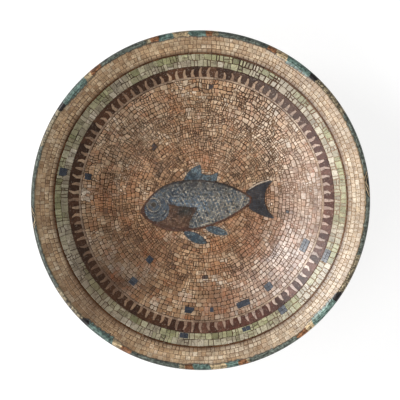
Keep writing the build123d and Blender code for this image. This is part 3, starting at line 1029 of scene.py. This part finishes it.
def courses(node, angle, height, length, bow=0.0, variety=0.25, stagger=0.5):
    """Courses of quads over a CAD node, turned and bowed, each with its course and place in it."""
    low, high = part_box(node)
    centre, size = (low + high).xy / 2, (high - low).length / 2
    along, across = Vector((cos(angle), sin(angle))), Vector((-sin(angle), cos(angle)))
    laid = []
    for course, level in enumerate(np.arange(-size, size, height)):
        steps = length * chance.uniform(1 - variety, 1 + variety, int(2.2 * size / length))
        edges = np.cumsum(steps) - 1.1 * size + length * stagger * (course % 2)
        for number, (start, end) in enumerate(zip(edges, edges[1:])):
            corners = [(start, level), (end, level), (end, level + height), (start, level + height)]
            bowed = [centre + along * u + across * (v + bow * u * u) for u, v in corners]
            laid.append(([tuple(point) for point in bowed], course, number))
    return laid


# %% Turning outlines into stones
stone_thickness = 0.7 * MM


def lay(
    node, outlines, finish, slot, marks=None, inside=None, joint=0.3 * MM, bevel=0.12 * MM,
    uneven=0.05 * MM, tip=0.02, knocked_from=1.0, proud=0.0, seed=1,
):
    """Trims outlines to their CAD node, turns them into stones and puts them in its place."""
    points, faces, kept = [], [], []
    inside = inside or covers(node)
    for k, outline in enumerate(outlines):
        trimmed = trim(outline, inside)
        gap = (joint(outline[0]) if callable(joint) else joint) / 2 * chance.uniform(0.4, 1.6)
        drawn = draw_in(trimmed, gap) if trimmed else None
        if drawn is None:
            continue
        if area(drawn) > knocked_from:
            drawn = blunt(drawn, chance.uniform(0.06, 0.2))
        faces.append(range(len(points), len(points) + len(drawn)))
        points += [(x, y, face_height(x, y) + proud) for x, y in drawn]
        kept.append(k)
    mesh = bpy.data.meshes.new(node + "_stones")
    mesh.from_pydata(points, [], faces)
    for mark, values in (marks or {}).items():
        stored = mesh.attributes.new(mark, "FLOAT", "FACE")
        stored.data.foreach_set("value", [values[k] for k in kept])
    piece = in_scene(node + "_stones", mesh)
    modifier = piece.modifiers.new("lay_stones", "NODES")
    modifier.node_group = stone_tree
    material = stone_finishes[finish]
    inputs = {"Thickness": stone_thickness, "Bevel": bevel, "Unevenness": uneven, "Tip": tip}
    for name, value in (inputs | {"Seed": seed, "Finish": material}).items():
        modifier[socket_id[name]] = value
    evaluated = piece.evaluated_get(bpy.context.evaluated_depsgraph_get())
    solid = bpy.data.meshes.new_from_object(evaluated)
    piece.modifiers.remove(modifier)
    piece.data = solid
    settle(piece, material, slot, node)


# %% [markdown]
# ## The bands
#
# From the lip inwards there are four rows of small peach stones, painted whiter at the lower right
# as painted sheen, then a thin dark line, two rows of larger grey and green stones, the dark
# toothed band and a pale line. An Array modifier would give each row equal stones, and real rows
# are uneven, so the rows are drawn. They lie where the CAD rings are; only the joints between their
# stones are new.

# %% Border, dark line and pale line
accents = covers("accent_stones")
band_overlap = row_joint / 2
border_joints = [0.2 * MM, 0.24 * MM, 0.3 * MM, 0.34 * MM]


def clear_of_accents(point):
    """Whether a point of the plan is free for an ordinary stone."""
    return not accents(point)


def band(node, width, finish, slot, variety=0.3, cut_share=0.0, push=None, toned=None, **settings):
    """Fills one CAD ring with a row of stones, some of them cut in two, some pushed about."""
    inner, outer = ring_reach(node)
    if node == "border_row_1":
        outer = lip_inner
    row = ring_row(inner - band_overlap, outer + band_overlap, width, variety=variety)
    row = some_split(row, cut_share)
    if push:
        row = [[push(corner) for corner in outline] for outline in row]
    marks = {"tone": [toned(outline) for outline in row]} if toned else None
    lay(node, row, finish, slot, marks=marks, inside=clear_of_accents, **settings)


def painted_sheen(outline):
    """How white a border stone is painted, as painted sheen: most at the lower right."""
    x, y = middle(outline)
    return float(np.clip(0.6 * (x - 0.4 * y) / hypot(x, y) + chance.normal(0, 0.2), 0, 0.6))


for number, joint in enumerate(border_joints, 1):
    band(
        f"border_row_{number}", 2.9 * MM, "peach_border", "peach_stone",
        toned=painted_sheen, joint=joint, seed=number,
    )
band("dark_line", 4.0 * MM, "dark_line_stone", "dark_stone", joint=0.12 * MM, bevel=0.06 * MM)
band("pale_line", 2.6 * MM, "pale_ring", "beige_stone", joint=0.14 * MM, bevel=0.08 * MM)

# %% [markdown]
# The green rows mix grey and green stones in patches, and many stones are cut in two. Moving each
# stone by itself would open gaps, so smooth noise pushes every corner, neighbours alike, and the
# line between the two rows wanders. At the upper right the stones have shifted and the joints gape.

# %% Green rows
green_low, green_high = ring_reach("green_row_2")[0], ring_reach("green_row_1")[1]
gape_angle, gape_spread = 58, 26


def open_joints(point):
    """How far the joints gape, from 0 to 1: most at the upper right."""
    turn = np.degrees(np.arctan2(point[1], point[0]))
    return float(np.exp(-(((turn - gape_angle) / gape_spread) ** 2)))


def green_joint(point):
    """Joints of the green rows, wider where they gape."""
    return (0.34 + 0.34 * open_joints(point)) * MM


def green_wander(point):
    """A corner pushed by smooth noise, but not at the two edges of the band."""
    share = sin(pi * np.clip((hypot(*point) - green_low) / (green_high - green_low), 0, 1))
    push = noise.noise_vector(Vector((point[0], point[1], 0.0)) / (3.5 * MM)) * (1.1 * share * MM)
    return point[0] + push.x, point[1] + push.y


def greenness(number):
    """How green a stone of this row is: in patches, more outside above and more inside below."""
    def tone(outline):
        x, y = middle(outline)
        patch = noise.noise(Vector((x, y, 0.0)) / (15 * MM) + Vector((7.0, 3.0, 0.0)))
        outer_share = 0.22 if (number == 1) == (y > -40 * MM) else -0.22
        return float(np.clip(0.4 + 1.3 * patch + outer_share + chance.normal(0, 0.15), 0, 0.9))

    return tone


for number in (1, 2):
    band(
        f"green_row_{number}", 3.4 * MM, "green_band", "green_stone", variety=0.5, cut_share=0.35,
        push=green_wander, toned=greenness(number), joint=green_joint, seed=10 + number,
    )

# %% [markdown]
# ## The toothed band
#
# A hundred pale teeth rise like flames from the band's inner edge. Each leans and reaches a little
# differently, so copies of one tooth won't do. The teeth are drawn first, as sides that run from
# foot to tip, and the dark stones are what is left between one tooth's left side and the next
# one's right side, so that the two always fit. Both are painted redder and paler on the right side,
# as painted light on the lit side of the bowl.

# %% The hundred teeth
tooth_count = 100
long_tooth = 0.94
tooth_foot, tooth_waist, tooth_tip = 2.4 * MM, 1.9 * MM, 1.1 * MM
band_inner, band_outer = ring_reach("dentil_band")
band_inner, band_outer = band_inner - band_overlap, band_outer + band_overlap
teeth = []
for k in range(tooth_count):
    length = (band_outer - band_inner) * chance.uniform(0.62, 0.82)
    if k % 25 in (0, 24) or chance.random() < 0.08:
        length = (band_outer - band_inner) * long_tooth
    teeth.append((k * (2 * pi / tooth_count), length, chance.uniform(-0.7, 0.7) * MM))


def tooth_side(tooth, side):
    """Points up one side of a tooth, from foot to tip."""
    centre_angle, length, bend = tooth
    points = []
    levels = [(0.0, tooth_foot, 0.0), (0.5, tooth_waist, bend), (1.0, tooth_tip, -bend)]
    for share, breadth, shift in levels:
        radius = band_inner + share * length
        points.append(on_plan(radius, centre_angle + (side * breadth / 2 + shift) / radius))
    return points


def over_tip(tooth):
    """The point on a tooth's tip, and the point over it at the band's outer edge."""
    centre_angle, length, bend = tooth
    tip = on_plan(band_inner + length, centre_angle - bend / band_inner)
    return [tip, on_plan(band_outer, centre_angle)]


print("the longest tooth is", round(max(length for _, length, _ in teeth) / MM, 2), "mm long")

# %% Teeth and the dark stones between them
tooth_outlines, dark_outlines = [], []
for tooth, following in zip(teeth, teeth[1:] + teeth[:1]):
    left = tooth_side(tooth, 1)
    tooth_outlines.append(tooth_side(tooth, -1) + left[::-1])
    between = over_tip(tooth) + over_tip(following)[::-1]
    dark_outlines.append(left + between + tooth_side(following, -1)[::-1])


def lit_right(outline):
    """How far a stone lies on the lit right side of the bowl, from 0 to 1, for its painted light."""
    x, y = middle(outline)
    return held(0.9 * x - 0.44 * y, 10 * MM, 60 * MM)


for node, outlines, finish, slot, most_lit, seed in (
    ("dentil_teeth", tooth_outlines, "tooth_beige", "beige_stone", 0.65, 21),
    ("dentil_band", dark_outlines, "dentil_brown", "brown_stone", 0.85, 22),
):
    # Painted light: the tone mark makes stones on the lit right side lighter.
    marks = {"tone": [most_lit * lit_right(o) for o in outlines]}
    settings = {"inside": clear_of_accents, "joint": 0.12 * MM, "bevel": 0.08 * MM}
    lay(node, outlines, finish, slot, marks=marks, seed=seed, **settings)

# %% [markdown]
# ## The field
#
# The ground of the picture is warm stone in rings, tidy below and on the right, and rough as
# cobbles above. One smooth noise pushes the corners of neighbouring stones together, so the rows
# wander without gaps, and it pushes harder in the upper half. A Voronoi texture would give cobbles
# too, but no rings and no single stones. The CAD field has pockets for the fish and the dark
# stones, and trimming to it cuts the stones round them.

# %% Field outlines
field_outer = ring_reach("field")[1]
field_pitch = 2.7 * MM
broad_wander, fine_wander, clump_size = 7.0 * MM, 2.6 * MM, 11 * MM
smallest_row = 0.4 * MM


def roughness(point):
    """0 in the tidy lower part of the ground, 1 in the rough upper part, and rough near the fish."""
    near_fish = held(hypot(*point), 45 * MM, 65 * MM, 0.7, 0.0)
    return max(near_fish, held(point[1], -30 * MM, 15 * MM))


def wander(point):
    """A corner pushed by smooth noise, further where the laying is rough."""
    rough = roughness(point)
    here = Vector((point[0], point[1], 0.0))
    broad = noise.noise_vector(here / broad_wander) * (0.5 + 1.1 * rough) * MM
    fine = noise.noise_vector(here / fine_wander) * (0.15 + 0.45 * rough) * MM
    return point[0] + broad.x + fine.x, point[1] + broad.y + fine.y


field_outlines = []
row_outer = field_outer + field_pitch
while row_outer > field_pitch:
    row_height = field_pitch * chance.uniform(0.85, 1.15)
    row_inner = max(row_outer - row_height, smallest_row)
    for outline in ring_row(row_inner, row_outer, field_pitch * 1.1, variety=0.4):
        parts = [outline]
        clump = 1 + 1.6 * noise.noise(Vector((*outline[0], 0.0)) / clump_size)
        fineness = held(hypot(*outline[0]), 58 * MM, 70 * MM, 1.0, 0.4)
        for share in (0.7, 0.35):
            parts = some_split(parts, 0.1 + share * clump * fineness * roughness(outline[0]))
        field_outlines += [[wander(corner) for corner in part] for part in parts]
    row_outer -= row_height
print("outlines in the field:", len(field_outlines))

# %% [markdown]
# The field's colour isn't even. Stones are paler beside the fins and in a few patches, painted
# pinkish white at the lower right as painted sheen, and near black at some flecks. Painting that
# with a texture would colour parts of stones, so each stone gets a mark for it. Joints are wider
# where the laying is rough or where they gape, and narrow on the lit right side.

# %% Field stones
flecks = [(-32.6, 34.4), (55.6, -8.1), (1.7, -51.7), (6.9, 73.2), (-71.0, 38.4), (61.6, 52.6)]
fleck_reach = 1.4 * MM
fins_and_tail = ["fish_dorsal_fin", "fish_pelvic_fin", "fish_anal_fin", "fish_tail_edge"]
by_fin = near(*fins_and_tail, reach=1.7 * MM)
# x, y and reach in mm
pale_patches = [(-52, 54, 30), (18, 38, 22), (42, 36, 24), (76, -2, 16)]


def is_fleck(outline):
    """1 for a stone at one of the dark flecks, otherwise 0."""
    x, y = middle(outline)
    return float(any(hypot(x - fx * MM, y - fy * MM) < fleck_reach for fx, fy in flecks))


def paleness(outline):
    """How pale a stone is: near a fin, or in one of the patches laid from paler stone."""
    x, y = middle(outline) / MM
    patch = max(np.exp(-((x - px) ** 2 + (y - py) ** 2) / reach**2) for px, py, reach in pale_patches)
    return float(np.clip(max(0.8 * by_fin(outline), patch * chance.uniform(0.3, 0.9)), 0, 1))


def sheen_and_stripe(outline):
    """How far a stone is painted pinkish white, as painted sheen: most at the lower right."""
    x, y = middle(outline)
    return held(0.92 * x - 0.4 * y, 26 * MM, 70 * MM, 0.0, 0.95) * chance.uniform(0.75, 1.0)


def field_joint(point):
    """Joint width at a point of the field."""
    gape = 0.14 * open_joints(point) * held(hypot(*point), 45 * MM, 60 * MM)
    # Joints are drawn narrower towards the lit right side.
    wear_and_light = held(point[0], 50 * MM, 80 * MM, 1.0, 0.7)
    return (0.3 + 0.08 * roughness(point) + gape) * wear_and_light * MM


field_marks = {
    mark: [rule(outline) for outline in field_outlines]
    for mark, rule in (("tone", is_fleck), ("halo", paleness), ("sheen_and_stripe", sheen_and_stripe))
}
lay(
    "field", field_outlines, "warm_field", "warm_stone", marks=field_marks, joint=field_joint,
    uneven=0.08 * MM, tip=0.035, knocked_from=4 * MM * MM, seed=31,
)

# %% [markdown]
# Single dark blue stones lie in the field and in the green rows. Each place is one CAD solid, from
# one to a few stones wide. The solids could be shown as they are, but they would have no joints,
# so each is measured outwards from the axis and across, and cut into stones of about one size.


# %% Single dark stones
def islands(node):
    """The corner points of each separate solid of a CAD node, always in the same order."""
    shape = bmesh.new()
    shape.from_mesh(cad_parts[node].data)
    bmesh.ops.remove_doubles(shape, verts=shape.verts, dist=1e-7)
    left, found = set(shape.verts), []
    while left:
        reached, fresh = set(), {left.pop()}
        while fresh:
            reached |= fresh
            fresh = {edge.other_vert(v) for v in fresh for edge in v.link_edges} - reached
        left -= reached
        found.append(np.array([v.co for v in reached]))
    shape.free()
    return sorted(found, key=lambda corners: tuple(corners.mean(axis=0).round(5)))


accent_pitch = 2.4 * MM


def even_cuts(places):
    """Evenly spaced cuts over a solid's extent one way."""
    low, high = places.min(), places.max()
    return np.linspace(low, high, max(1, round((high - low) / accent_pitch)) + 1)


accent_outlines = []
for corners in islands("accent_stones"):
    out = corners.mean(axis=0)[:2]
    out = out / np.linalg.norm(out)
    round_way = np.array([-out[1], out[0]])
    us, vs = even_cuts(corners[:, :2] @ out), even_cuts(corners[:, :2] @ round_way)
    for u0, u1 in zip(us, us[1:]):
        for v0, v1 in zip(vs, vs[1:]):
            square = ((u0, v0), (u1, v0), (u1, v1), (u0, v1))
            accent_outlines.append([out * u + round_way * v for u, v in square])


def anywhere(point):
    """A test for outlines that need no trimming."""
    return True


lay(
    "accent_stones", accent_outlines, "accent_blue", "blue_stone", inside=anywhere,
    joint=0.06 * MM, bevel=0.08 * MM, proud=0.1 * MM, seed=41,
)

# %% [markdown]
# ## The fish
#
# The fish is laid from smaller stones than the ground. Its flank has bowed courses of small square
# stones, dark and pale in turn, which read as scales, with a blue stripe along the middle and
# browner stones at the top and by the belly. The head's rows run round the eye, and the fins and
# tail follow their rays. A stout rust line, black along the back, holds the outline together.

# %% Flank
fine = {"joint": 0.16 * MM, "bevel": 0.07 * MM}
flank_low, flank_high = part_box("fish_flank")
scale_size = 1.15 * MM
by_belly = near("fish_belly", reach=1.6 * MM)


def along_flank(outline):
    """A stone's place on the flank: 0 to 1 from head to tail, and 0 to 1 from belly to back."""
    return (middle(outline) - flank_low.xy) / (flank_high - flank_low).xy


def scale_tone(outline, course, number):
    """Pale or dark for one stone: slanting rows of scales, paler towards the lower rear."""
    rear, high = along_flank(outline)
    paler = 0.35 * rear + 0.25 * (1 - high) - 0.3
    row, dot = 0.32 * (course % 2), 0.34 * ((course + number) % 2)
    return float(np.clip(0.1 + row + dot + paler + chance.normal(0, 0.24), 0, 1))


def browned(outline):
    """How far a stone belongs to the brown of the belly's edge or of the back."""
    on_top = held(middle(outline)[1], flank_high.y - 9 * MM, flank_high.y - 3 * MM, 0.0, 0.8)
    return max(by_belly(outline), on_top)


def in_middle(outline):
    """How much a stone belongs to the blue stripe along the middle of the flank."""
    x, y = along_flank(outline)
    return float(np.exp(-(((x - 0.4) / 0.34) ** 2) - ((y - 0.48) / 0.2) ** 2) * chance.uniform(0.4, 1.0))


scales = courses("fish_flank", radians(115), scale_size, scale_size, bow=6.0, variety=0.1, stagger=0.0)
flank = [stone[0] for stone in scales]
flank_marks = {
    "tone": [scale_tone(*stone) * (1 - 0.5 * browned(stone[0])) for stone in scales],
    "sheen_and_stripe": [in_middle(o) for o in flank],
    "halo": [browned(o) * chance.uniform(0.3, 1.0) for o in flank],
}
lay("fish_flank", flank, "fish_scale", "scale_stone", marks=flank_marks, seed=51, **fine)

# %% Head, eye and pupil
pupil_low, pupil_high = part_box("fish_pupil")
eye_middle = (pupil_low + pupil_high).xy / 2
eye_edges = np.array([0.3, 1.6, 2.5, 3.3, 4.1, *range(5, 16)]) * MM
eye_tones = [0.0, 0.35, 0.0, 0.15, 0.65, 0.0, 0.2, 0.0, 0.4, 0.0, 0.25, 0.0, 0.2, 0.0, 0.15]


def eye_rings(node, slot, seed):
    """Rows of small stones round the eye, pale and dark in turn, trimmed to one piece of the head."""
    outlines, tones = [], []
    for inner, outer, tone in zip(eye_edges, eye_edges[1:], eye_tones):
        row = ring_row(inner, outer, 1.4 * MM, eye_middle)
        outlines += row
        tones += list(np.clip(tone + chance.normal(0, 0.18, len(row)), 0, 1))
    lay(node, outlines, "fish_scale", slot, marks={"tone": tones}, seed=seed, **fine)


eye_rings("fish_head", "steel_stone", 52)
eye_rings("fish_eye", "scale_stone", 53)
pupil_radius = (pupil_high.x - pupil_low.x) / 2
pupil_turns = np.linspace(0, 2 * pi, 12, endpoint=False)
pupil = [on_plan(pupil_radius, t, eye_middle) for t in pupil_turns]
lay("fish_pupil", [pupil], "pupil_dark", "slate_stone", inside=anywhere, seed=54, **fine)

# %% Belly and outline
blotch_middle, blotch_reach = (-11.5 * MM, -8.0 * MM), 6.5 * MM
line_middle, line_step = (-6 * MM, -4 * MM), 2.4 * MM
by_line = near("fish_outline", reach=1.5 * MM)


def in_blotch(outline):
    """How much of the belly's dark blotch falls on a stone."""
    x, y = middle(outline)
    away = hypot(x - blotch_middle[0], 1.5 * (y - blotch_middle[1]))
    return float(np.clip(1.3 - away / blotch_reach + chance.normal(0, 0.15), 0, 1))


def on_back(outline):
    """1 along the fish's back, where the line is black, 0 along its belly."""
    return float(np.clip((middle(outline)[1] - 1 * MM) / (6 * MM), 0, 1))


belly = [stone[0] for stone in courses("fish_belly", radians(-12), 1.2 * MM, 1.4 * MM)]
belly_marks = {"tone": [in_blotch(o) for o in belly], "halo": [by_line(o) for o in belly]}
lay("fish_belly", belly, "belly_brown", "umber_stone", marks=belly_marks, seed=55, **fine)
line_stones = []
for inner in np.arange(1 * MM, 60 * MM, line_step):
    line_stones += ring_row(inner, inner + line_step, 2.6 * MM, line_middle)
line_marks = {"tone": [on_back(o) for o in line_stones]}
tight = fine | {"joint": 0.1 * MM}
lay("fish_outline", line_stones, "rust_line", "rust_stone", marks=line_marks, seed=56, **tight)

# %% Fins and tail
# the rays' angle in degrees, the height and length of their stones in mm, finish and slot
fins = {
    "fish_dorsal_fin": (62, 1.1, 1.4, "fin_blue", "steel_stone"),
    "fish_pelvic_fin": (-34, 1.1, 1.4, "fin_blue", "steel_stone"),
    "fish_anal_fin": (-20, 1.1, 1.4, "fin_blue", "steel_stone"),
    "fish_tail": (8, 1.3, 2.4, "tail_slate", "slate_stone"),
    "fish_tail_edge": (25, 1.0, 2.6, "tail_pale", "beige_stone"),
}
for seed, (node, (ray_angle, height, length, finish, slot)) in enumerate(fins.items(), 60):
    rays = [stone[0] for stone in courses(node, radians(ray_angle), height * MM, length * MM)]
    lay(node, rays, finish, slot, seed=seed, **fine)

# %% [markdown]
# ## Floor, light and camera
#
# The photo is a cut-out on white, lit softly from the left, which leaves the left wall dark and
# puts a satin sheen on the wall at the lower right. A large softbox lights the bowl, a small one
# makes the sheen, and the world fills the shadows. More light would wash the colours out, so the
# white ground is made in the materials: what the camera sees of the pale floor and of the world is
# lifted to white, and the floor still takes the bowl's shadow.

# %% Floor
floor_half = 3.0
floor_glow = 0.84
floor_corners = [(x * floor_half, y * floor_half, 0) for x, y in ((-1, -1), (1, -1), (1, 1), (-1, 1))]
floor_mesh = bpy.data.meshes.new("floor")
floor_mesh.from_pydata(floor_corners, [], [(0, 1, 2, 3)])
floor = in_scene("floor", floor_mesh)
white_floor, bench = new_material("white_floor")


def shown_white(bench, mirrored=1.0):
    """1 for what the camera sees, straight, through glass or as a reflection, otherwise 0."""
    seen = bench.add("ShaderNodeLightPath").outputs
    reflected = bench.times(seen["Is Glossy Ray"], mirrored)
    indirect = bench.math("MAXIMUM", reflected, seen["Is Transmission Ray"])
    return bench.math("MAXIMUM", seen["Is Camera Ray"], indirect)


seen_white = shown_white(bench)
floor_colour = bench.mix(seen_white, [0.8, 0.8, 0.8, 1], [0.25, 0.25, 0.25, 1])
bench.surface({"Base Color": floor_colour, "Roughness": 0.9, "Specular IOR Level": 0.0})
glow = {"Color": WHITE, "Strength": bench.times(seen_white, floor_glow)}
lights = {
    0: bench.tree.nodes["Principled BSDF"].outputs[0],
    1: bench.add("ShaderNodeEmission", glow).outputs[0],
}
both = bench.add("ShaderNodeAddShader", lights).outputs[0]
bench.fill(bench.tree.nodes["Material Output"], {"Surface": both})
floor_mesh.materials.append(white_floor)
print("floor is", 2 * floor_half, "m wide")

# %% World
ambient = 0.3
world = bpy.data.worlds.new("studio")
bpy.context.scene.world = world
world.use_nodes = True
bench = ShaderBench(world.node_tree)
sky_way = bench.add("ShaderNodeTexCoord").outputs["Generated"]
sky = bench.add("ShaderNodeSeparateXYZ", {0: sky_way}).outputs["Z"]
horizon = bench.spread(sky, sin(radians(16)), sin(radians(8)))
strength = bench.spread(shown_white(bench, horizon), 0.0, 1.0, ambient, 1.0)
bench.fill(bench.tree.nodes["Background"], {"Strength": strength, "Color": WHITE})
print("world fills the shadows with", ambient)


# %% Lights
def softbox(name, azimuth, zenith, distance, size, power):
    """A square area lamp aimed at the bowl."""
    lamp = bpy.data.lights.new(name, "AREA")
    lamp.shape = "SQUARE"
    lamp.size = size
    lamp.energy = power
    stand = in_scene(name, lamp)
    way = Vector((cos(azimuth) * sin(zenith), sin(azimuth) * sin(zenith), cos(zenith)))
    stand.location = way * distance
    stand.rotation_euler = way.to_track_quat("Z", "Y").to_euler()
    print("softbox", name, "of", power, "W")


softbox("key", radians(214), radians(57), 1.5, 1.4, 19.5)
softbox("sheen", radians(153), radians(58), 1.4, 0.5, 13.0)

# %% [markdown]
# The photo was taken from almost straight above: its rim is nearly round, and the floor of the
# bowl lies a little off the rim's centre. Those two give a view 4.5 degrees off the axis. The lens
# is chosen so that the rim is as many pixels wide as in the photo, and the camera is aimed beside
# the axis instead of shifted, so that other views need nothing undone.

# %% Camera
camera_tilt, camera_side = radians(4.5), radians(27.5)
camera_distance = 1.1
photo_pixels = 400
rim_pixels = 170.4
rim_shift = (0.86, 0.9)
pixel = rim_radius / rim_pixels
aim = Vector((rim_shift[0] * pixel, rim_shift[1] * pixel, lip_level))
lens = bpy.data.cameras.new("photo_view")
lens.sensor_fit = "HORIZONTAL"
lens.lens = lens.sensor_width * camera_distance / (photo_pixels * pixel)
lens.clip_start = 0.01
back = Vector(
    (sin(camera_tilt) * cos(camera_side), sin(camera_tilt) * sin(camera_side), cos(camera_tilt))
)
right = Vector((0, 1, 0)).cross(back).normalized()
up = back.cross(right)
camera = in_scene("photo_view", lens)
camera.location = aim + back * camera_distance
camera.rotation_euler = Matrix((right, up, back)).transposed().to_euler()
bpy.context.scene.camera = camera
bpy.context.scene.view_settings.view_transform = "Standard"
print("lens", round(lens.lens, 1), "mm at", camera_distance, "m")
